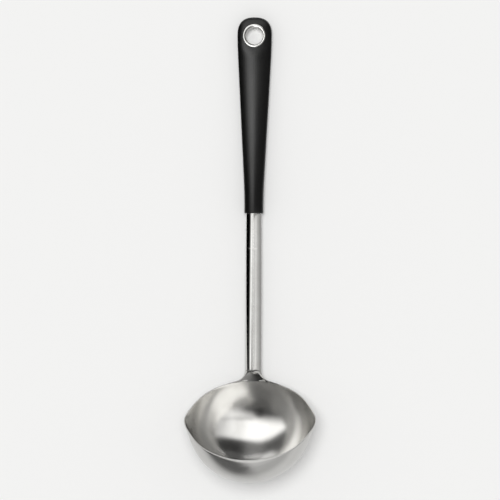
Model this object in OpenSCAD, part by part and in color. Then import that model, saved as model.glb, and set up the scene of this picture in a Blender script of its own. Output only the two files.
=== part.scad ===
// Kitchen ladle: steel bowl with a flared neck and a tubular stem, black moulded grip, steel hanging eyelet.
// It lies on its back as on a table: the grip runs along +Y and the bowl opens up and towards the grip.
// Each piece is drawn round the stem's own axis, which is the Y axis there, and laid down at the end.

/* [Bowl] */
// Outer diameter of the bowl at its rim
bowl_d = 89; // [70:1:110]
// Thickness of the steel sheet
sheet = 1; // [0.6:0.1:1.6]
// How far each pouring lip stands out from the round rim
lip_out = 2.4; // [0:0.1:4]
// Angle on the rim from the tip of a lip to where it ends
lip_angle = 26; // [15:1:40]
// How far a lip reaches down the wall
lip_depth = 11; // [5:1:20]
// Rounding of the sheet's edge at the rim
edge_round = 0.25; // [0.1:0.05:0.3]

/* [Neck and stem] */
// Angle between the stem and the axis of the bowl
rake = 37; // [25:1:45]
// How far the axis of the stem stands in front of the rim
stem_lift = 0.5; // [0:0.1:1]
// Diameter of the stem where it leaves the neck
stem_d = 11.4; // [9:0.1:13]
// Diameter of the stem where it enters the grip
stem_grip_d = 10.8; // [8:0.1:11]
// Wall of the stem tube
stem_wall = 1; // [0.6:0.1:1.6]
// Length of the stem from the neck to the grip
stem_len = 111; // [60:0.5:160]
// Length of the neck, from the rim to the round stem
neck_len = 8.5; // [7:0.5:16]
// Angle on the rim from the middle of the neck to where its flare ends
neck_angle = 23; // [16:1:28]
// Height over which the front of the neck is rounded into the bowl
crest_round = 5.5; // [0.5:0.1:7]
// Height over which the back of the neck is rounded into the bowl
heel_round = 2.5; // [0.5:0.1:4]

/* [Grip] */
// Length of the grip
grip_len = 140.6; // [110:0.2:170]
// Diameter of the grip where the stem enters it
grip_mouth_d = 13.6; // [13:0.1:17]
// Width of the grip at its hanging end
grip_w = 24.6; // [22:0.1:32]
// Thickness of the grip at its hanging end
grip_t = 10; // [7:0.1:13]
// Distance from the mouth to where the grip starts to widen
taper_start = 14; // [8:1:30]
// Distance from the hanging end to where the grip has its full width
taper_end = 20; // [16:1:30]
// Length of the rounded hanging end
grip_tip = 13; // [9:0.5:16]
// Depth of the socket for the stem
socket_depth = 32; // [20:1:40]
// Gap round the stem in its socket
socket_gap = 0.1; // [0.05:0.01:0.2]
// Rounding of the edge at the mouth
mouth_round = 0.4; // [0.1:0.1:0.6]

/* [Eyelet] */
// Diameter of the hole through the eyelet
eyelet_bore = 12.4; // [8:0.2:14]
// Outer diameter of the eyelet's flanges
eyelet_flange_d = 16.4; // [15:0.1:19]
// Distance from the hanging end of the grip to the middle of the eyelet
eyelet_in = 13.4; // [11:0.2:18]
// Wall of the eyelet's tube
eyelet_wall = 0.7; // [0.5:0.1:1]
// Rounding of the mouth of the eyelet
eyelet_round = 1.2; // [0.5:0.1:1.4]
// Thickness of a flange
flange_t = 0.8; // [0.4:0.1:1]
// How deep a flange is let into the grip
flange_sink = 0.4; // [0.2:0.1:0.4]
// Gap between the eyelet and the grip
eyelet_gap = 0.05; // [0.02:0.01:0.15]

/* [Hidden] */
steel = [0.72, 0.72, 0.70];
black_plastic = [0.06, 0.06, 0.06];

bowl_r = bowl_d / 2;
stem_r = stem_d / 2;
// Distance of the stem's axis from the centre of the bowl
stem_offset = bowl_r * cos(rake) - stem_lift;
rim_y = bowl_r * sin(rake);
neck_end = rim_y + neck_len;
grip_start = neck_end + stem_len;
grip_end = grip_start + grip_len;
eyelet_y = grip_end - eyelet_in;
// The eyelet is let into both faces of the grip
seat = grip_t / 2 - flange_sink;
flange_top = seat + flange_t;
eyelet_r = eyelet_bore / 2;
eyelet_tube_r = eyelet_r + eyelet_wall;
flange_r = eyelet_flange_d / 2;

// Curves shared by all pieces
function mix(a, b, t) = a * (1 - t) + b * t;
function clamped(t) = min(1, max(0, t));
function eased(t) = let (c = clamped(t)) c * c * (3 - 2 * c);
function smooth_min(a, b, k) = min(a, b) - pow(max(k - abs(a - b), 0), 2) / (4 * max(k, 0.001));
function smooth_max(a, b, k) = -smooth_min(-a, -b, k);
function bezier(p, t) =
    p[0] * pow(1 - t, 3) + p[1] * 3 * t * pow(1 - t, 2) + p[2] * 3 * t * t * (1 - t) + p[3] * pow(t, 3);
function joined(lists) = [for (list = lists) for (item = list) item];
// Two triangles on the corners a, b, c and d, turned over where flip is true
function quad(a, b, c, d, flip) = flip ? [[a, b, c], [a, c, d]] : [[a, c, b], [a, d, c]];

// Powers of the curves that round the grip's hanging end, seen from above and from the side
tip_power = 2.6;
tip_side_power = 5;
// Power of the grip's section: 2 is an oval, more is squarer. It changes over a length ahead of the flat pad
round_power = 2;
pad_power = 3.6;
power_run = 8;
// How softly the taper starts and ends
taper_soft = 1;
// Half width, half thickness and power of the grip's section at a distance from its mouth
tip_from = grip_len - grip_tip;
pad_from = grip_len - taper_end;
function grip_share(s) = (s - taper_start) / (pad_from - taper_start);
function ramp(low, high, s, soft) =
    smooth_min(smooth_max(low, mix(low, high, grip_share(s)), soft), high, soft);
function tip_share(s, power) = pow(1 - pow(clamped((s - tip_from) / grip_tip), power), 1 / power);
function grip_half_w(s) = ramp(grip_mouth_d, grip_w, s, taper_soft) * tip_share(s, tip_power) / 2;
function grip_half_t(s) =
    mix(grip_mouth_d, grip_t, clamped(grip_share(s))) * tip_share(s, tip_side_power) / 2;
function section_power(s) = mix(round_power, pad_power, eased((s - pad_from + power_run) / power_run));
// Distances from the mouth at which the grip's rings stand
taper_steps = 12;
pad_steps = 5;
tip_steps = 9;
last_tip_angle = 86;
pad_rings_from = pad_from - power_run - taper_soft;
mouth_stations = [mouth_round, taper_start / 2];
taper_stations = [for (i = [0:taper_steps]) mix(taper_start, pad_rings_from, i / taper_steps)];
pad_stations = [for (i = [1:pad_steps]) mix(pad_rings_from, tip_from, i / pad_steps)];
tip_stations = [for (i = [1:tip_steps]) tip_from + grip_tip * sin(last_tip_angle * i / tip_steps)];
grip_stations = concat(mouth_stations, taper_stations, pad_stations, tip_stations);

// Angle by which the stem slopes when the bowl rests on the table and the grip touches it where it first can
function slope_at(half_t, y) =
    asin(bowl_r / norm([stem_offset + half_t, y])) - atan2(stem_offset + half_t, y);
grip_slope = min([for (s = grip_stations) slope_at(grip_half_t(s), grip_start + s)]);
flange_slope = min([for (end = [-1, 1]) slope_at(flange_top, eyelet_y + end * flange_r)]);
slope = min(grip_slope, flange_slope);

// Where the two ends of the ladle come when it is laid down, measured from the centre of the bowl
low_end = -bowl_r;
high_end = grip_end * cos(slope) - stem_offset * sin(slope);

module laid_down() {
    translate([0, -(low_end + high_end) / 2, bowl_r])
        rotate([-slope, 0, 0])
            translate([0, 0, -stem_offset])
                children();
}

// Steps of the bowl's mesh
rim_steps = 72;
half_neck_steps = 11;
wall_steps = 16;
neck_steps = 14;
// More than 1 brings the rows of the wall closer together at the rim
row_crowding = 1.2;
columns = rim_steps + 2 * half_neck_steps;
neck_columns = 2 * half_neck_steps + 1;

// Angle round the rim of each column, 0 in the middle of the neck
function column_angle(c) =
    c <= 2 * half_neck_steps
    ? neck_angle * (c / half_neck_steps - 1)
    : neck_angle + (360 - 2 * neck_angle) * (c - 2 * half_neck_steps) / rim_steps;
// Angle below the rim of each row
edge_angle = asin(edge_round / bowl_r);
function row_angle(i) = mix(edge_angle, 90, pow(i / wall_steps, row_crowding));

// A point at an angle round the rim, r from the bowl's axis and n along it from the plane of the rim
function bowl_point(th, r, n) = [
    r * sin(th),
    r * cos(th) * sin(rake) + n * cos(rake),
    stem_offset - r * cos(th) * cos(rake) + n * sin(rake)
];
function lip_share(th) =
    let (off = abs(abs(th > 180 ? th - 360 : th) - 90) / lip_angle)
    off < 1 ? pow(cos(90 * off), 2) : 0;
function lip(th, depth) = lip_out * lip_share(th) * pow(max(0, 1 - depth / lip_depth), 2);
function wall_point(th, low, inset) =
    let (r = bowl_r - inset, depth = r * sin(low))
    bowl_point(th, r * cos(low) + lip(th, depth), -depth);
// The back of the neck bulges from the outer wall, down to the straight underside of the stem
bell_power = 5;
function bell(x) = pow(cos(90 * min(1, abs(x))), bell_power);
function outer_point(th, low) =
    let (
        p = wall_point(th, low, 0),
        from_neck = abs(th > 180 ? th - 360 : th) / neck_angle,
        bulge = p.y > 0 ? smooth_max(p.z + stem_r, 0, heel_round) * bell(from_neck) : 0
    )
    [p.x, p.y, p.z - bulge];
// Four points across the sheet's edge: inner wall, inner and outer side of the rim, outer wall
function rim_point(th, k) =
    k == 0 ? wall_point(th, edge_angle, sheet)
    : k == 3 ? wall_point(th, edge_angle, 0)
    : bowl_point(th, bowl_r + lip(th, 0) - (k == 1 ? sheet - edge_round : edge_round), 0);

// The flare's edge leaves the rim along the rim and ends along the stem. It keeps to each for this share
flare_hold = 0.68;
ring_points = 2 * neck_columns + 4;
ring_step = 360 / ring_points;
function edge_lift(k) = (1.5 - k) * ring_step;
function flare_edge(k, side, t) =
    let (
        from = rim_point(neck_angle, k),
        to = [stem_r * cos(edge_lift(k)), neck_end, stem_r * sin(edge_lift(k))],
        along_rim = [-cos(neck_angle), sin(neck_angle) * sin(rake), -sin(neck_angle) * cos(rake)],
        first = from + along_rim * flare_hold * (from.x - to.x),
        last = to - [0, flare_hold * (to.y - from.y), 0],
        p = bezier([from, first, last, to], t)
    )
    [side * p.x, p.y, p.z];

// Share of the neck over which the rounding of its crest grows to full size
crest_share = 0.2;
// How much steeper than the bowl's wall the front of the neck gets between the rim and its crest, in mm per mm,
// and the distance over which it gets so
crest_steep = 0.6;
crest_run = 3;
// More than 2 keeps the crest's rounding closer to the flare's edges
crest_power = 4;
// A point of the neck's front (k = 0) or back (k = 3): u runs across from -1 to 1, t from the rim to the stem
function neck_point(k, u, t) =
    let (
        edge = flare_edge(k, 1, t),
        start_edge = flare_edge(k, 1, 0),
        start = rim_point(u * neck_angle, k),
        gone = (edge.y - start_edge.y) / (neck_end - start_edge.y),
        turn = u * (90 - edge_lift(0)),
        lift = sin(edge_lift(0)),
        across = mix(start.x / start_edge.x, sin(turn) / cos(edge_lift(0)), eased(t)),
        x = across * edge.x,
        y = mix(start.y, neck_end, gone),
        web = edge.z + (start.z - start_edge.z) * (1 - gone),
        ridge = mix(bell(across), (cos(turn) - lift) / (1 - lift), eased(t)),
        crown = (k == 0 ? 1 : -1) * stem_r,
        inner_r = bowl_r - sheet,
        sphere_z = stem_offset - sqrt(max(1, inner_r * inner_r - x * x - y * y)),
        past_rim = max(0, y - start.y),
        bowl_z = sphere_z + crest_steep * past_rim * past_rim / (past_rim + crest_run),
        stem_z = web + (crown - web) * ridge,
        soft = crest_round * eased(t / crest_share) * (1 - pow(u, crest_power))
    )
    [x, y, k == 0 ? smooth_min(bowl_z, stem_z, soft) : stem_z];
function neck_grid_point(k, c, t) =
    let (u = c / half_neck_steps - 1)
    abs(u) == 1 ? flare_edge(k, u, t) : neck_point(k, u, t);

// Rings of the stem, outside to its end in the grip, then back inside the tube. The stem is a little fuller
// where it has left the neck, and thins from there to the grip
socket_room = 2;
full_share = 0.25;
full_extra = 0.1;
thin_share = 0.8;
thin_part = 0.2;
stem_end = grip_start + socket_depth - socket_room;
tube_start = neck_end + stem_r;
function stem_ring(r, y) = [
    for (q = [0:ring_points - 1])
        let (a = edge_lift(0) - 90 + q * ring_step)
        [r * sin(a), y, r * cos(a)]
];
stem_grip_r = stem_grip_d / 2;
stem_rings = [
    stem_ring(stem_r + full_extra, mix(neck_end, grip_start, full_share)),
    stem_ring(mix(stem_r, stem_grip_r, thin_part), mix(neck_end, grip_start, thin_share)),
    stem_ring(stem_grip_r, grip_start),
    stem_ring(stem_grip_r, stem_end),
    stem_ring(stem_grip_r - stem_wall, stem_end),
    stem_ring(stem_grip_r - stem_wall, tube_start)
];

// Points of the whole body, block by block
inner_wall = [
    for (i = [0:wall_steps - 1]) for (c = [0:columns - 1]) wall_point(column_angle(c), row_angle(i), sheet)
];
outer_wall = [
    for (i = [0:wall_steps - 1]) for (c = [0:columns - 1]) outer_point(column_angle(c), row_angle(i))
];
rim_tops = [for (k = [1, 2]) for (q = [0:rim_steps]) rim_point(column_angle(2 * half_neck_steps + q), k)];
neck_front = [for (i = [1:neck_steps]) for (c = [0:neck_columns - 1]) neck_grid_point(0, c, i / neck_steps)];
neck_back = [for (i = [1:neck_steps]) for (c = [0:neck_columns - 1]) neck_grid_point(3, c, i / neck_steps)];
neck_sides = [
    for (side = [-1, 1]) for (k = [1, 2]) for (i = [1:neck_steps]) flare_edge(k, side, i / neck_steps)
];
body_points = joined([
    inner_wall,
    outer_wall,
    rim_tops,
    neck_front,
    neck_back,
    neck_sides,
    joined(stem_rings),
    [wall_point(0, 90, sheet), wall_point(0, 90, 0), [0, tube_start - stem_wall, 0]]
]);

// Where each block starts in the list of points
outer_at = len(inner_wall);
rim_at = outer_at + len(outer_wall);
front_at = rim_at + len(rim_tops);
back_at = front_at + len(neck_front);
sides_at = back_at + len(neck_back);
rings_at = sides_at + len(neck_sides);
poles_at = rings_at + len(stem_rings) * ring_points;

function inner_i(i, c) = i * columns + c % columns;
function outer_i(i, c) = outer_at + inner_i(i, c);
function rim_i(k, q) =
    k == 0 ? inner_i(0, 2 * half_neck_steps + q)
    : k == 3 ? outer_i(0, 2 * half_neck_steps + q)
    : rim_at + (k - 1) * (rim_steps + 1) + q;
function front_i(i, c) = i == 0 ? inner_i(0, c) : front_at + (i - 1) * neck_columns + c;
function back_i(i, c) = i == 0 ? outer_i(0, c) : back_at + (i - 1) * neck_columns + c;
function side_i(right, k, i) =
    k == 0 ? front_i(i, right ? neck_columns - 1 : 0)
    : k == 3 ? back_i(i, right ? neck_columns - 1 : 0)
    : i == 0 ? rim_i(k, right ? 0 : rim_steps)
    : sides_at + ((right ? 2 : 0) + k - 1) * neck_steps + i - 1;
// Point q round the stem in ring j, where ring 0 is the end of the neck
function ring_i(j, q) =
    let (w = q % ring_points, right_at = neck_columns, back_end = 2 * neck_columns + 2)
    j > 0 ? rings_at + (j - 1) * ring_points + w
    : w < right_at ? front_i(neck_steps, w)
    : w < right_at + 2 ? side_i(true, w - right_at + 1, neck_steps)
    : w < back_end ? back_i(neck_steps, back_end - 1 - w)
    : side_i(false, 2 - (w - back_end), neck_steps);

body_faces = joined(joined([
    [for (i = [0:wall_steps - 2]) for (c = [0:columns - 1])
        quad(inner_i(i, c), inner_i(i + 1, c), inner_i(i + 1, c + 1), inner_i(i, c + 1), false)],
    [for (i = [0:wall_steps - 2]) for (c = [0:columns - 1])
        quad(outer_i(i, c), outer_i(i + 1, c), outer_i(i + 1, c + 1), outer_i(i, c + 1), true)],
    [for (c = [0:columns - 1]) [[inner_i(wall_steps - 1, c), inner_i(wall_steps - 1, c + 1), poles_at]]],
    [for (c = [0:columns - 1]) [[outer_i(wall_steps - 1, c), poles_at + 1, outer_i(wall_steps - 1, c + 1)]]],
    [for (k = [0:2]) for (q = [0:rim_steps - 1])
        quad(rim_i(k, q), rim_i(k + 1, q), rim_i(k + 1, q + 1), rim_i(k, q + 1), true)],
    [for (i = [0:neck_steps - 1]) for (c = [0:neck_columns - 2])
        quad(front_i(i, c), front_i(i + 1, c), front_i(i + 1, c + 1), front_i(i, c + 1), true)],
    [for (i = [0:neck_steps - 1]) for (c = [0:neck_columns - 2])
        quad(back_i(i, c), back_i(i + 1, c), back_i(i + 1, c + 1), back_i(i, c + 1), false)],
    [for (right = [false, true]) for (k = [0:2]) for (i = [0:neck_steps - 1])
        quad(side_i(right, k, i), side_i(right, k, i + 1),
            side_i(right, k + 1, i + 1), side_i(right, k + 1, i), right)],
    [for (j = [0:len(stem_rings) - 1]) for (q = [0:ring_points - 1])
        quad(ring_i(j, q), ring_i(j + 1, q), ring_i(j + 1, q + 1), ring_i(j, q + 1), true)],
    [for (q = [0:ring_points - 1])
        [[ring_i(len(stem_rings), q), poles_at + 2, ring_i(len(stem_rings), q + 1)]]]
]));

module ladle_body() {
    color(steel)
        laid_down()
            polyhedron(points = body_points, faces = body_faces, convexity = 6);
}

grip_ring_points = 48;
function grip_ring(s, trim) =
    let (
        a = grip_half_w(s) - trim,
        b = grip_half_t(s) - trim,
        p = 2 / section_power(s)
    )
    [
        for (q = [0:grip_ring_points - 1])
            let (turn = 360 * (q + 0.5) / grip_ring_points)
            [
                a * sign(cos(turn)) * pow(abs(cos(turn)), p),
                grip_start + s,
                b * sign(sin(turn)) * pow(abs(sin(turn)), p)
            ]
    ];
grip_points = joined(concat(
    [grip_ring(0, mouth_round)],
    [for (s = grip_stations) grip_ring(s, 0)],
    [[[0, grip_start, 0], [0, grip_end, 0]]]
));
grip_rings = len(grip_stations) + 1;
function grip_i(j, q) = j * grip_ring_points + q % grip_ring_points;
grip_faces = joined(concat(
    [for (j = [0:grip_rings - 2]) for (q = [0:grip_ring_points - 1])
        quad(grip_i(j, q), grip_i(j + 1, q), grip_i(j + 1, q + 1), grip_i(j, q + 1), false)],
    [for (q = [0:grip_ring_points - 1]) [[grip_i(0, q + 1), grip_i(0, q), grip_rings * grip_ring_points]]],
    [for (q = [0:grip_ring_points - 1])
        [[grip_i(grip_rings - 1, q), grip_i(grip_rings - 1, q + 1), grip_rings * grip_ring_points + 1]]]
));

module eyelet_place() {
    translate([0, eyelet_y, 0])
        children();
}

module grip() {
    color(black_plastic)
        laid_down()
            difference() {
                polyhedron(points = grip_points, faces = grip_faces, convexity = 4);
                translate([0, grip_start - 1, 0])
                    rotate([-90, 0, 0])
                        cylinder(r = stem_grip_r + socket_gap, h = socket_depth + 1, $fn = 96);
                eyelet_place()
                    cylinder(r = eyelet_tube_r + eyelet_gap, h = 2 * grip_t, center = true, $fn = 96);
                for (face = [-1, 1])
                    eyelet_place()
                        translate([0, 0, face * (seat + grip_t / 2)])
                            cylinder(r = flange_r + eyelet_gap, h = grip_t, center = true, $fn = 96);
            }
}

// Half of the eyelet's section, from the bore round the flange to the tube's outside. The face is 1 above
// and -1 below
function eyelet_section(face) =
    let (
        soft = min(flange_t, eyelet_round) / 2,
        under = seat + eyelet_gap
    )
    concat(
        [for (a = [0:15:90])
            [eyelet_r + eyelet_round * (1 - cos(a)), face * (flange_top - eyelet_round * (1 - sin(a)))]],
        [for (a = [90:-30:0])
            [flange_r - soft * (1 - cos(a)), face * (flange_top - soft * (1 - sin(a)))]],
        [[flange_r, face * under], [eyelet_tube_r, face * under]]
    );
function reversed(list) = [for (i = [len(list) - 1:-1:0]) list[i]];

module eyelet() {
    color(steel)
        laid_down()
            eyelet_place()
                rotate_extrude($fn = 96)
                    polygon(concat(eyelet_section(1), reversed(eyelet_section(-1))));
}

ladle_body();
grip();
eyelet();
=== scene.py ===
import math

import bpy
from mathutils import Matrix, Vector


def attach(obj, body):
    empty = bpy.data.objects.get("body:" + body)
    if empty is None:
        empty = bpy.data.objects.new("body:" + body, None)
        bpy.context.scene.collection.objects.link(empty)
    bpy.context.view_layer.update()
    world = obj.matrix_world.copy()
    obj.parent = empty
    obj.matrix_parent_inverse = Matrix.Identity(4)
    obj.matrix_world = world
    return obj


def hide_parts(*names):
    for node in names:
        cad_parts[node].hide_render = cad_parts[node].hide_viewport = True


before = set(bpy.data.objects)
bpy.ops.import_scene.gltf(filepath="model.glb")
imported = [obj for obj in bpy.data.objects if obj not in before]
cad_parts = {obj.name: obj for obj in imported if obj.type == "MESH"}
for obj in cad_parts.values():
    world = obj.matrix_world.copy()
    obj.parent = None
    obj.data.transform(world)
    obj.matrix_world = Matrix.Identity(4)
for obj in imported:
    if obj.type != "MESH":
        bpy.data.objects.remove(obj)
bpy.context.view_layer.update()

# Where things are, in metres: the ladle lies along Y with its bowl at the low end
BOWL_CENTRE = Vector((0, -0.120923, 0.0445))
# The bowl opens at 37 degrees from straight along the grip
BOWL_AXIS = Vector((0, math.cos(math.radians(37)), math.sin(math.radians(37))))
# Where the neck turns into the stem along Y, and where the grip starts and ends
NECK = (-0.095, -0.086)
GRIP_MOUTH, GRIP_END = 0.0245, 0.166
EYELET_PLACE = Vector((0, 0.152024, 0.005518))
# How much the grip's axis falls towards its hanging end, in metres a metre
GRIP_FALL = 0.014432

# Share of the light on plain surfaces that comes evenly from all round. The rest is the lamp overhead
EVEN_LIGHT = 0.45
# A ray that mirrors a thing for the second time or later is deeper than this
SEEN_AGAIN = 1.5
# Where what shines sees the camera, as a direction to the right and away. A round dark patch stands for it:
# how wide it is fully dark, how wide in all, and its level
CAMERA_PATCH = (-0.24, -0.15)
PATCH_SIZE = (0.1, 0.21)
PATCH_LEVEL = 0.03

BLACK = (0, 0, 0)
PALE = (0.9, 0.9, 0.895)
STUDIO_WHITE = (1, 0.998, 0.99, 1)
CARD_WHITE = (1, 1, 0.99, 1)

# Places of a Mix node's sockets: its inputs and its output, for numbers and for colours
NUMBERS_IN, NUMBER_OUT = (2, 3), 0
COLOURS_IN, COLOUR_OUT = (6, 7), 2


# Materials

def new_material(name):
    """A material with an empty tree but for its shader and output."""
    material = bpy.data.materials.new(name)
    material.use_nodes = True
    tree = material.node_tree
    tree.nodes.clear()
    output = tree.nodes.new("ShaderNodeOutputMaterial")
    shader = tree.nodes.new("ShaderNodeBsdfPrincipled")
    tree.links.new(shader.outputs["BSDF"], output.inputs["Surface"])
    return material, tree, shader


def add_node(tree, kind, **settings):
    node = tree.nodes.new(kind)
    for key, value in settings.items():
        setattr(node, key, value)
    return node


def feed(tree, socket, value):
    """Gives a socket a number or another node's output."""
    if isinstance(value, (int, float)):
        socket.default_value = value
    else:
        tree.links.new(value, socket)


def maths(tree, operation, *values):
    """A Math node. Each value is a number or another node's output."""
    node = add_node(tree, "ShaderNodeMath", operation=operation)
    for socket, value in zip(node.inputs, values):
        feed(tree, socket, value)
    return node.outputs["Value"]


def product(tree, first, *others):
    for other in others:
        first = maths(tree, "MULTIPLY", first, other)
    return first


def ramp(tree, value, low, high, from_low=0.0, to_high=1.0):
    """Takes value from low..high smoothly to from_low..to_high."""
    node = add_node(tree, "ShaderNodeMapRange", interpolation_type="SMOOTHSTEP")
    tree.links.new(value, node.inputs["Value"])
    node.inputs["From Min"].default_value = low
    node.inputs["From Max"].default_value = high
    node.inputs["To Min"].default_value = from_low
    node.inputs["To Max"].default_value = to_high
    return node.outputs["Result"]


def mixed(tree, share, first, second):
    """The second value where share is 1, the first where it is 0. Each is a number or another's output."""
    node = add_node(tree, "ShaderNodeMix", data_type="FLOAT")
    low, high = NUMBERS_IN
    feed(tree, node.inputs["Factor"], share)
    feed(tree, node.inputs[low], first)
    feed(tree, node.inputs[high], second)
    return node.outputs[NUMBER_OUT]


def blended(tree, share, first, second):
    """The second colour where share is 1, the first where it is 0."""
    node = add_node(tree, "ShaderNodeMix", data_type="RGBA")
    tree.links.new(share, node.inputs["Factor"])
    for place, colour in zip(COLOURS_IN, (first, second)):
        node.inputs[place].default_value = (*colour, 1)
    return node.outputs[COLOUR_OUT]


def chosen(tree, share, first, second):
    """The second shader where share is 1, the first where it is 0."""
    node = add_node(tree, "ShaderNodeMixShader")
    tree.links.new(share, node.inputs["Fac"])
    tree.links.new(first, node.inputs[1])
    tree.links.new(second, node.inputs[2])
    return node.outputs["Shader"]


def place_on_object(tree):
    return tree.nodes.new("ShaderNodeTexCoord").outputs["Object"]


def axes_of(tree, vector):
    node = tree.nodes.new("ShaderNodeSeparateXYZ")
    tree.links.new(vector, node.inputs["Vector"])
    return node.outputs


def grain(tree, place, scale, detail=2.0, stretch=(1, 1, 1)):
    """Noise on the object's own coordinates, stretched along an axis where its stretch there is below 1."""
    mapping = tree.nodes.new("ShaderNodeMapping")
    mapping.inputs["Scale"].default_value = stretch
    tree.links.new(place, mapping.inputs["Vector"])
    node = tree.nodes.new("ShaderNodeTexNoise")
    node.inputs["Scale"].default_value = scale
    node.inputs["Detail"].default_value = detail
    tree.links.new(mapping.outputs["Vector"], node.inputs["Vector"])
    return node.outputs["Fac"]


def line_noise(tree, value, scale, detail):
    """Noise along one measure: it makes lines where that measure is the same."""
    node = add_node(tree, "ShaderNodeTexNoise", noise_dimensions="1D")
    tree.links.new(value, node.inputs["W"])
    node.inputs["Scale"].default_value = scale
    node.inputs["Detail"].default_value = detail
    return node.outputs["Fac"]


def scratches(tree, place, turn, scale, thinness):
    """Fine straight scratches of one direction: the crests of a stretched noise."""
    mapping = tree.nodes.new("ShaderNodeMapping")
    mapping.inputs["Rotation"].default_value = turn
    mapping.inputs["Scale"].default_value = (1, 0.06, 1)
    tree.links.new(place, mapping.inputs["Vector"])
    node = tree.nodes.new("ShaderNodeTexNoise")
    node.inputs["Scale"].default_value = scale
    node.inputs["Detail"].default_value = 1.0
    tree.links.new(mapping.outputs["Vector"], node.inputs["Vector"])
    crest = maths(tree, "ABSOLUTE", maths(tree, "SUBTRACT", node.outputs["Fac"], 0.5))
    return ramp(tree, crest, 0.0, thinness, 1.0, 0.0)


def bump(tree, shader, height, distance, strength, normal=None):
    """Raises the surface by a height. A bump that is given here as the normal lies beneath it."""
    node = tree.nodes.new("ShaderNodeBump")
    node.inputs["Distance"].default_value = distance
    node.inputs["Strength"].default_value = strength
    tree.links.new(height, node.inputs["Height"])
    if normal is not None:
        tree.links.new(normal, node.inputs["Normal"])
    tree.links.new(node.outputs["Normal"], shader.inputs["Normal"])
    return node.outputs["Normal"]


def two_tones(tree, shader, share, first, second):
    tree.links.new(blended(tree, share, first, second), shader.inputs["Base Color"])


def height_in_bowl(tree, place):
    """Distance from the bowl's centre along its axis, which is the same all round a turned line."""
    from_centre = add_node(tree, "ShaderNodeVectorMath", operation="SUBTRACT")
    tree.links.new(place, from_centre.inputs[0])
    from_centre.inputs[1].default_value = BOWL_CENTRE
    along_axis = add_node(tree, "ShaderNodeVectorMath", operation="DOT_PRODUCT")
    tree.links.new(from_centre.outputs["Vector"], along_axis.inputs[0])
    along_axis.inputs[1].default_value = BOWL_AXIS
    return along_axis.outputs["Value"]


def steel_material():
    """Stainless steel: satin with fine turned lines round the bowl, drawn lines along the stem, smudges, and
    a few fine scratches from use."""
    material, tree, shader = new_material("satin_steel")
    shader.inputs["Metallic"].default_value = 1
    place = place_on_object(tree)
    wander = grain(tree, place, 60, 2)
    wandering_height = maths(tree, "MULTIPLY_ADD", wander, 0.0006, height_in_bowl(tree, place))
    turned = line_noise(tree, wandering_height, 2600, 3)
    drawn = grain(tree, place, 900, 3, (1, 0.02, 1))
    on_stem = ramp(tree, axes_of(tree, place)["Y"], *NECK)
    lines = mixed(tree, on_stem, turned, drawn)
    smudge = ramp(tree, grain(tree, place, 28, 4), 0.36, 0.68)
    haze = ramp(tree, grain(tree, place, 110, 3), 0.35, 0.7)
    bowl_roughness, stem_roughness, smudge_share, line_share = 0.13, 0.12, 0.05, 0.04
    rough = mixed(tree, on_stem, bowl_roughness, stem_roughness)
    rough = maths(tree, "MULTIPLY_ADD", smudge, smudge_share, rough)
    rough = maths(tree, "MULTIPLY_ADD", lines, line_share, rough)
    tree.links.new(rough, shader.inputs["Roughness"])
    tone = maths(tree, "MULTIPLY_ADD", smudge, 0.6, maths(tree, "MULTIPLY", haze, 0.4))
    bright_steel, dull_steel = (0.69, 0.685, 0.67), (0.63, 0.622, 0.604)
    two_tones(tree, shader, tone, bright_steel, dull_steel)
    marks = maths(tree, "MAXIMUM", scratches(tree, place, (0.4, 0.2, 0.9), 420, 0.006),
                  scratches(tree, place, (1.1, -0.5, -0.7), 360, 0.005))
    worn = ramp(tree, grain(tree, place, 45, 2), 0.5, 0.62)
    cut = maths(tree, "MULTIPLY", marks, worn)
    level = maths(tree, "SUBTRACT", lines, maths(tree, "MULTIPLY", cut, 0.6))
    bump(tree, shader, level, 0.00001, 0.35)
    return material


def eyelet_material():
    """Polished steel with faint scratches."""
    material, tree, shader = new_material("polished_steel")
    shader.inputs["Metallic"].default_value = 1
    place = place_on_object(tree)
    smudge = ramp(tree, grain(tree, place, 220, 3), 0.35, 0.7)
    bright_steel, dull_steel = (0.74, 0.735, 0.72), (0.68, 0.672, 0.655)
    two_tones(tree, shader, smudge, bright_steel, dull_steel)
    polished, smudge_share = 0.1, 0.08
    tree.links.new(maths(tree, "MULTIPLY_ADD", smudge, smudge_share, polished), shader.inputs["Roughness"])
    bump(tree, shader, scratches(tree, place, (0.2, 0.1, 0.6), 900, 0.01), 0.000006, 0.4)
    return material


def plastic_material():
    """Black moulded plastic: a fine even grain, a parting line along the sides, and sheen where hands rub."""
    material, tree, shader = new_material("black_plastic")
    shader.inputs["IOR"].default_value = 1.46
    place = place_on_object(tree)
    axes = axes_of(tree, place)
    fine = grain(tree, place, 2400, 2)
    coarse = grain(tree, place, 900, 2)
    rubbed = ramp(tree, grain(tree, place, 34, 3), 0.38, 0.66)
    black, worn_black = (0.003, 0.003, 0.003), (0.006, 0.0059, 0.0057)
    two_tones(tree, shader, ramp(tree, coarse, 0.3, 0.7), black, worn_black)
    moulded, rubbed_share, grain_share = 0.38, -0.07, 0.06
    rough = maths(tree, "MULTIPLY_ADD", rubbed, rubbed_share, moulded)
    rough = maths(tree, "MULTIPLY_ADD", fine, grain_share, rough)
    tree.links.new(rough, shader.inputs["Roughness"])
    # The two halves of the mould met at the height of the grip's axis, which falls towards the hanging end
    height_at_bowl = EYELET_PLACE.z + EYELET_PLACE.y * GRIP_FALL
    axis_height = maths(tree, "MULTIPLY_ADD", axes["Y"], -GRIP_FALL, height_at_bowl)
    off_line = maths(tree, "ABSOLUTE", maths(tree, "SUBTRACT", axes["Z"], axis_height))
    seam_width = 0.00022
    seam = ramp(tree, off_line, 0.0, seam_width, 1.0, 0.0)
    skin = bump(tree, shader, mixed(tree, 0.4, fine, coarse), 0.00006, 0.5)
    bump(tree, shader, seam, 0.00008, 0.8, skin)
    return material


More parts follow.
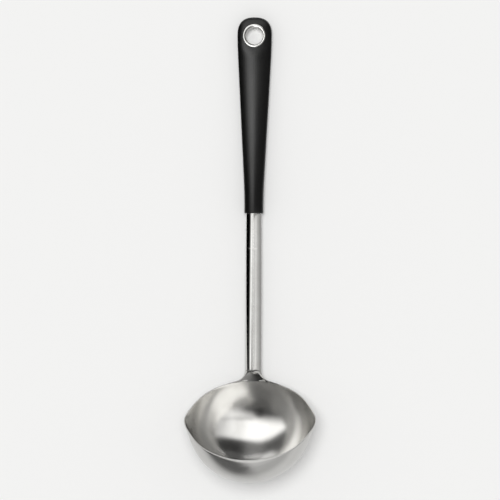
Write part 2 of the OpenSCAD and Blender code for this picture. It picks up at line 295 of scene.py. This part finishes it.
# What shines sees: each level is worked out from the direction that it looks in, with x to the right, y away
# towards the grip and z up. A span says from where to where, and the levels there

def soft_box(tree, x, y):
    """The large soft box overhead and at the left, paler at the right. A narrow band of it is dimmer straight
    above the right of the stem."""
    level = product(tree, ramp(tree, x, -0.1, 0.5, 1.7, 1.3), ramp(tree, x, 0.55, 1.0, 1.0, 0.55))
    band_place, band_half_widths = 0.015, (0.02, 0.07)
    off_band = maths(tree, "ABSOLUTE", maths(tree, "SUBTRACT", y, band_place))
    band = ramp(tree, off_band, *band_half_widths, 1.0, 0.0)
    dim = product(tree, ramp(tree, x, -0.14, 0.02, 0.0, 0.58), ramp(tree, x, 0.35, 0.6, 1.0, 0.5), band)
    return maths(tree, "MULTIPLY", level, maths(tree, "SUBTRACT", 1.0, dim))


def in_front(tree, x, y, z):
    """Before the bowl: dark at the left and grey at the right, and white far out. Near the horizon the grey
    starts further left."""
    level = ramp(tree, x, 0.1, 0.6, 0.08, 0.6)
    far_out, far_level = (-0.67, -0.55), 0.9
    level = mixed(tree, ramp(tree, y, *far_out), far_level, level)
    horizon = (0.08, 0.22)
    return mixed(tree, ramp(tree, z, *horizon), ramp(tree, x, -0.35, 0.12, 0.06, 0.62), level)


def over_the_grip(tree, x, y, z):
    """Behind the box: dark, but for a paler band low down at the left and a faint one in the middle."""
    band = product(tree, ramp(tree, z, 0.06, 0.34, 1.0, 0.0), ramp(tree, x, -0.35, 0.35, 1.15, 0.12),
                   ramp(tree, y, 0.72, 0.88))
    left_of_stem = 0.08
    off_middle = maths(tree, "ABSOLUTE", maths(tree, "ADD", x, left_of_stem))
    middle = ramp(tree, off_middle, 0.08, 0.45, 0.16, 0.0)
    return maths(tree, "ADD", maths(tree, "ADD", band, middle), ramp(tree, x, -0.4, 0.4, 0.1, 0.04))


def seen_again(tree, x, y):
    """What the bowl sees in its own far wall: the left of the studio is bright there, the right is dim."""
    left = ramp(tree, y, 0.0, 0.3, 1.0, 2.0)
    right = mixed(tree, ramp(tree, y, 0.55, 0.7), ramp(tree, y, -0.05, 0.2, 0.85, 0.4), 0.26)
    return mixed(tree, ramp(tree, x, -0.14, 0.02), left, right)


def dark_patch(tree, x, y, middle, size, darkest):
    """1 away from a round patch, and darkest inside its core."""
    off_x = maths(tree, "SUBTRACT", x, middle[0])
    off_y = maths(tree, "SUBTRACT", y, middle[1])
    squared = maths(tree, "ADD", product(tree, off_x, off_x), product(tree, off_y, off_y))
    return ramp(tree, maths(tree, "SQRT", squared), *size, darkest, 1.0)


def studio_level(tree, directions, depth):
    """The studio's brightness in each direction."""
    x, y, z = directions
    # The front edge of the box slants, up to a place at its left
    slant, slant_end = 0.3, -0.45
    slanted = maths(tree, "MULTIPLY_ADD", maths(tree, "MAXIMUM", x, slant_end), slant, y)
    front = ramp(tree, slanted, -0.26, 0.1)
    level = mixed(tree, front, in_front(tree, x, y, z), soft_box(tree, x, y))
    # Its far edge is bowed, more so at the left
    from_top = maths(tree, "ADD", x, 0.17)
    bow = product(tree, from_top, from_top, ramp(tree, from_top, -0.1, 0.1, 0.8, 0.22))
    behind = ramp(tree, maths(tree, "ADD", y, bow), 0.64, 0.76)
    level = mixed(tree, behind, level, over_the_grip(tree, x, y, z))
    again = maths(tree, "GREATER_THAN", depth, SEEN_AGAIN)
    level = mixed(tree, again, level, seen_again(tree, x, y))
    return maths(tree, "MULTIPLY", level, dark_patch(tree, x, y, CAMERA_PATCH, PATCH_SIZE, PATCH_LEVEL))


# Stage

def world_light():
    """A little even light for plain surfaces, and the studio for what shines."""
    world = bpy.data.worlds.new("studio")
    bpy.context.scene.world = world
    # The rays that meet the world tell it what they left, so it isn't also sampled as a lamp
    world.cycles.sampling_method = "NONE"
    world.use_nodes = True
    tree = world.node_tree
    tree.nodes.clear()
    output = tree.nodes.new("ShaderNodeOutputWorld")
    directions = axes_of(tree, tree.nodes.new("ShaderNodeTexCoord").outputs["Generated"])
    path = tree.nodes.new("ShaderNodeLightPath").outputs
    studio = tree.nodes.new("ShaderNodeBackground")
    tree.links.new(studio_level(tree, directions, path["Glossy Depth"]), studio.inputs["Strength"])
    even = tree.nodes.new("ShaderNodeBackground")
    tree.links.new(mixed(tree, path["Is Diffuse Ray"], 1.0, EVEN_LIGHT), even.inputs["Strength"])
    for part in (studio, even):
        part.inputs["Color"].default_value = STUDIO_WHITE
    surface = chosen(tree, path["Is Glossy Ray"], even.outputs["Background"], studio.outputs["Background"])
    tree.links.new(surface, output.inputs["Surface"])


def top_light():
    """A wide soft lamp overhead, a little towards the grip's end, so that the shadow falls below the bowl.
    What shines sees the studio in its place."""
    lamp = bpy.data.lights.new("top_light", "SUN")
    lamp.energy = (1.0 - EVEN_LIGHT) * math.pi
    width, lean = 22, -7
    lamp.angle = math.radians(width)
    piece = bpy.data.objects.new("top_light", lamp)
    piece.rotation_euler = (math.radians(lean), 0, 0)
    piece.visible_glossy = False
    bpy.context.scene.collection.objects.link(piece)


def mirrored_floor_level(tree, x, y, depth):
    """How pale the floor is to what shines, with painted shade that only reflections show: greyer before the
    bowl, a painted dark patch at its left, white behind it, and painted dimness at the right where it is seen
    again."""
    # Painted shade, seen only in reflections: greyer before the bowl, a dark patch at its left, dim at the
    # right when mirrored again
    before_bowl = ramp(tree, y, -0.36, -0.2, 0.58, 0.83)
    painted_shade = product(tree, ramp(tree, y, -0.36, -0.18, 1.0, 0.0), ramp(tree, x, -0.06, 0.05, 1.0, 0.0))
    painted_shade_level, far_level = 0.16, 0.95
    level = mixed(tree, painted_shade, before_bowl, painted_shade_level)
    level = mixed(tree, ramp(tree, y, -0.12, -0.06), level, far_level)
    again = maths(tree, "GREATER_THAN", depth, SEEN_AGAIN)
    return mixed(tree, again, level, ramp(tree, x, -0.06, 0.03, 0.7, 0.2))


def floor():
    """A pale table, which what shines sees in greys with painted shade."""
    bpy.ops.mesh.primitive_plane_add(size=6, location=(0, 0, 0))
    piece = bpy.context.object
    piece.name = "floor"
    material, tree, shader = new_material("pale_floor")
    shader.inputs["Base Color"].default_value = (*PALE, 1)
    shader.inputs["Roughness"].default_value = 0.9
    shader.inputs["Specular IOR Level"].default_value = 0.0
    axes = axes_of(tree, place_on_object(tree))
    path = tree.nodes.new("ShaderNodeLightPath").outputs
    # Painted shade: the floor's colour as reflections see it is darkened by position
    seen = mirrored_floor_level(tree, axes["X"], axes["Y"], path["Glossy Depth"])
    mirrored = tree.nodes.new("ShaderNodeBsdfDiffuse")
    tree.links.new(blended(tree, seen, BLACK, PALE), mirrored.inputs["Color"])
    output = next(node for node in tree.nodes if node.type == "OUTPUT_MATERIAL")
    surface = chosen(tree, path["Is Glossy Ray"], shader.outputs["BSDF"], mirrored.outputs["BSDF"])
    tree.links.new(surface, output.inputs["Surface"])
    piece.data.materials.append(material)


def card(name, low_edge, high_edge, *shades):
    """A card that only what shines sees. Each edge is two corners. Each shade takes its brightness from one
    level to another along an axis: the axis, from where to where, and the two levels. They are multiplied."""
    deselect()
    bpy.ops.mesh.primitive_plane_add(size=1)
    piece = bpy.context.object
    piece.name = name
    for vertex, corner in zip(piece.data.vertices, (*low_edge, *high_edge)):
        vertex.co = corner
    material, tree, shader = new_material(name)
    shader.inputs["Base Color"].default_value = (*BLACK, 1)
    shader.inputs["Specular IOR Level"].default_value = 0.0
    shader.inputs["Emission Color"].default_value = CARD_WHITE
    axes = axes_of(tree, place_on_object(tree))
    level = product(tree, *(ramp(tree, axes[axis], *span) for axis, *span in shades))
    tree.links.new(level, shader.inputs["Emission Strength"])
    piece.data.materials.append(material)
    piece.visible_camera = False
    piece.visible_diffuse = False
    piece.visible_transmission = False
    piece.visible_shadow = False


def along(name, start, end, low, high, *shades):
    """A card along the stem or the grip. Its low and high edges are each given as a place across, the height
    at the start and the height at the end."""
    low_x, low_start, low_end = low
    high_x, high_start, high_end = high
    card(name, ((low_x, start, low_start), (low_x, end, low_end)),
         ((high_x, start, high_start), (high_x, end, high_end)), *shades)


def across(name, place, half_width, low, high, *shades):
    """An upright card across the ladle."""
    card(name, ((-half_width, place, low), (half_width, place, low)),
         ((-half_width, place, high), (half_width, place, high)), *shades)


def cards():
    """Cards stand close to the stem and the grip: at the left black below and white above, at the right grey
    by the stem and dark by the grip, with a pale one over the grip. One over the stem faces the rim, a dark
    one faces the front of the neck, and another stands behind it."""
    stem_end, stem_side = -0.09, 0.0085
    along("stem_left", stem_end, GRIP_MOUTH, (-stem_side, 0.0128, 0.005), (-stem_side, 0.03, 0.032),
          ("Z", 0.0155, 0.0245, 0.0, 1.5))
    along("stem_right", stem_end, GRIP_MOUTH, (stem_side, 0, 0), (stem_side, 0.018, 0.018),
          ("Z", 0.008, 0.018, 0.42, 0.76))
    left_side, right_side, over_grip, over_right = -0.017, 0.018, 0.055, 0.006
    dimmer_by_mouth = ("Y", 0.015, 0.105, 0.32, 1.0)
    dimmer_by_eyelet = ("Y", 0.132, 0.156, 1.0, 0.3)
    along("grip_left", GRIP_MOUTH, GRIP_END, (left_side, 0, 0), (left_side, over_grip, over_grip),
          ("Z", 0.018, 0.042, 0.0, 3.4), dimmer_by_mouth)
    along("grip_top", GRIP_MOUTH, GRIP_END,
          (left_side, over_grip, over_grip), (over_right, over_grip, over_grip),
          ("X", -0.005, 0.005, 4.4, 0.3), dimmer_by_mouth, dimmer_by_eyelet)
    along("grip_right", GRIP_MOUTH, GRIP_END, (right_side, 0, 0), (over_right, over_grip, over_grip),
          ("Z", 0.0, 0.05, 0.1, 0.25))
    across("rim_card", 0.0, 0.02, 0.014, 0.045, ("Z", 0, 0.01, 1.2, 1.2))
    across("neck_card", -0.0955, 0.018, 0.006, 0.017, ("X", -0.012, 0.006, 0.42, 0.04))
    across("neck_back", -0.088, 0.012, 0.01, 0.024, ("X", -0.01, 0.01, 0.3, 0.1))


def camera():
    """Straight above, 3.4 degrees to the right, turned a little so that the grip leans right."""
    data = bpy.data.cameras.new("camera")
    data.sensor_width = 36
    data.lens = 200.06
    data.clip_end = 20
    piece = bpy.data.objects.new("camera", data)
    bpy.context.scene.collection.objects.link(piece)
    side, roll, distance = math.radians(3.43), math.radians(0.23), 2.0
    left_of_stem, past_bowl = 0.0031, 0.1195
    target = Vector((-left_of_stem, BOWL_CENTRE.y + past_bowl, 0))
    back = Vector((math.sin(side), 0, math.cos(side)))
    right = Vector((math.cos(side), 0, -math.sin(side)))
    up = Vector((0, 1, 0))
    turned_right = right * math.cos(roll) + up * math.sin(roll)
    turned_up = up * math.cos(roll) - right * math.sin(roll)
    turn = Matrix((turned_right, turned_up, back)).transposed()
    piece.matrix_world = Matrix.Translation(target + back * distance) @ turn.to_4x4()
    bpy.context.scene.camera = piece


# The steel body

def deselect():
    if bpy.context.mode != "OBJECT":
        bpy.ops.object.mode_set(mode="OBJECT")
    bpy.ops.object.select_all(action="DESELECT")


def merged_copy(node_name, name):
    """A copy of a CAD node as one closed mesh of quads, ready for its surface to be smoothed."""
    deselect()
    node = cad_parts[node_name]
    piece = bpy.data.objects.new(name, node.data.copy())
    bpy.context.scene.collection.objects.link(piece)
    piece.select_set(True)
    bpy.context.view_layer.objects.active = piece
    bpy.ops.mesh.customdata_custom_splitnormals_clear()
    bpy.ops.object.mode_set(mode="EDIT")
    bpy.ops.mesh.select_all(action="SELECT")
    bpy.ops.mesh.remove_doubles(threshold=1e-6)
    bpy.ops.mesh.tris_convert_to_quads(face_threshold=math.radians(80), shape_threshold=math.radians(80))
    bpy.ops.object.mode_set(mode="OBJECT")
    return piece


def select_faces(piece, wanted):
    """Selects the faces that meet the condition, and stays in edit mode."""
    bpy.ops.object.mode_set(mode="EDIT")
    bpy.ops.mesh.select_mode(type="FACE")
    bpy.ops.mesh.select_all(action="DESELECT")
    bpy.ops.object.mode_set(mode="OBJECT")
    for face in piece.data.polygons:
        face.select = wanted(face)
    bpy.ops.object.mode_set(mode="EDIT")


def on_rim_top(face):
    faces_out, off_rim = 0.97, 0.0001
    height = (face.center - BOWL_CENTRE).dot(BOWL_AXIS)
    return face.normal.dot(BOWL_AXIS) > faces_out and abs(height) < off_rim


def triangle_by_neck(face):
    start, end = -0.112, -0.086
    return len(face.vertices) == 3 and start < face.center.y < end


def bowl_and_stem(steel):
    """The steel body, with its sheet's surface smoothed and the top of its rim kept flat."""
    piece = merged_copy("ladle_body", "bowl_neck_and_stem")
    select_faces(piece, on_rim_top)
    bpy.ops.mesh.select_mode(type="EDGE")
    bpy.ops.mesh.region_to_loop()
    bpy.ops.transform.edge_crease(value=0.9)
    bpy.ops.object.mode_set(mode="OBJECT")
    select_faces(piece, triangle_by_neck)
    bpy.ops.mesh.tris_convert_to_quads(face_threshold=math.pi, shape_threshold=math.pi)
    bpy.ops.object.mode_set(mode="OBJECT")
    smoother = piece.modifiers.new("smoother", "SUBSURF")
    smoother.levels = smoother.render_levels = 2
    bpy.ops.object.modifier_apply(modifier=smoother.name)
    bpy.ops.object.shade_smooth_by_angle(angle=math.radians(50))
    piece.data.materials.clear()
    piece.data.materials.append(steel)
    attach(piece, "root")
    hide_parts("ladle_body")


bowl_and_stem(steel_material())
for name, material in (("grip", plastic_material()), ("eyelet", eyelet_material())):
    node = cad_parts[name]
    node.data.materials.clear()
    node.data.materials.append(material)

world_light()
top_light()
floor()
cards()
camera()

bpy.context.scene.view_settings.view_transform = "Standard"
